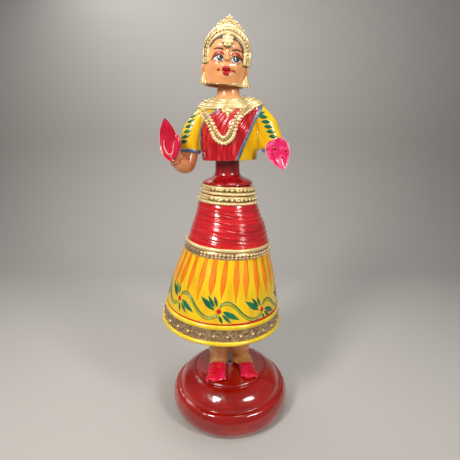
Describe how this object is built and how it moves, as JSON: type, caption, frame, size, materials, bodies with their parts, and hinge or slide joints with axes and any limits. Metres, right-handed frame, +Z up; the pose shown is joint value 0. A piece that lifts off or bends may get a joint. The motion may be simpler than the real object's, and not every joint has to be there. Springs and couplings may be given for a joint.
{
  "type": "dancing doll",
  "caption": "Painted papier-mache dancing doll: weighted round base with legs, and a skirt, torso and head that each sway and nod on wire pivots.",
  "frame": {"origin": "centre of the base's underside", "axes": "+Z up, the doll faces -Y, its own left hand is towards +X"},
  "size_m": [0.1404, 0.132, 0.4049],
  "materials": {
    "base_lacquer": "gloss",
    "sash_lacquer": "gloss",
    "skirt_lacquer": "gloss",
    "blouse_lacquer": "gloss",
    "flesh_lacquer": "gloss",
    "arm_lacquer": "gloss",
    "gold_paint": "satin",
    "bronze_paint": "satin",
    "hair_paint": "gloss",
    "clay": "matte",
    "board": "matte",
    "steel_wire": "satin",
    "wood_plug": "matte",
    "rim_lacquer": "gloss"
  },
  "bodies": {
    "stand": {"base_shell": "base_lacquer", "base_ballast": "clay", "base_bottom_board": "board", "right_leg": "flesh_lacquer", "left_leg": "flesh_lacquer", "leg_column": "wood_plug", "leg_pivot_wire": "steel_wire"},
    "skirt_rocker": {"skirt_crossbar": "steel_wire"},
    "skirt": {"skirt_front_shell": "skirt_lacquer", "skirt_back_shell": "skirt_lacquer", "waist_belt_upper": "gold_paint", "waist_belt_lower": "gold_paint", "hip_band": "gold_paint", "hem_upper_roll": "rim_lacquer", "hem_band": "bronze_paint", "hem_rim": "rim_lacquer", "hem_weight_ring": "clay", "skirt_balance_clay": "clay", "waist_post": "sash_lacquer", "waist_wire_plug": "wood_plug", "waist_pivot_wire": "steel_wire"},
    "torso_rocker": {"torso_crossbar": "steel_wire"},
    "torso": {"torso_front_shell": "blouse_lacquer", "torso_back_shell": "blouse_lacquer", "right_forearm": "arm_lacquer", "left_forearm": "arm_lacquer", "right_arm_wire": "steel_wire", "left_arm_wire": "steel_wire", "torso_balance_clay": "clay", "choker": "gold_paint", "long_necklace": "gold_paint", "pendant": "gold_paint", "neck_plug": "wood_plug", "neck_pivot_wire": "steel_wire"},
    "head_rocker": {"head_crossbar": "steel_wire"},
    "head": {"head_face_shell": "flesh_lacquer", "head_back_shell": "hair_paint", "crown": "gold_paint", "forehead_ornament": "gold_paint", "right_earring": "gold_paint", "left_earring": "gold_paint", "hair_bun": "hair_paint", "head_balance_clay": "clay"}
  },
  "joints": [
    {"name": "skirt_sway", "type": "hinge", "parent": "stand", "child": "skirt_rocker", "pos_m": [-0.0024, 0, 0.25], "axis": [0, 1, 0], "range_deg": [-12, 6]},
    {"name": "skirt_nod", "type": "hinge", "parent": "skirt_rocker", "child": "skirt", "pos_m": [-0.0024, 0, 0.25], "axis": [1, 0, 0], "range_deg": [-8, 8]},
    {"name": "torso_sway", "type": "hinge", "parent": "skirt", "child": "torso_rocker", "pos_m": [-0.0018, 0, 0.338], "axis": [0, 1, 0], "range_deg": [-7, 9]},
    {"name": "torso_nod", "type": "hinge", "parent": "torso_rocker", "child": "torso", "pos_m": [-0.0018, 0, 0.338], "axis": [1, 0, 0], "range_deg": [-7, 7]},
    {"name": "head_sway", "type": "hinge", "parent": "torso", "child": "head_rocker", "pos_m": [-0.0028, 0, 0.388], "axis": [0, 1, 0], "range_deg": [-12, 2]},
    {"name": "head_nod", "type": "hinge", "parent": "head_rocker", "child": "head", "pos_m": [-0.0028, 0, 0.388], "axis": [1, 0, 0], "range_deg": [-10, 3]}
  ]
}
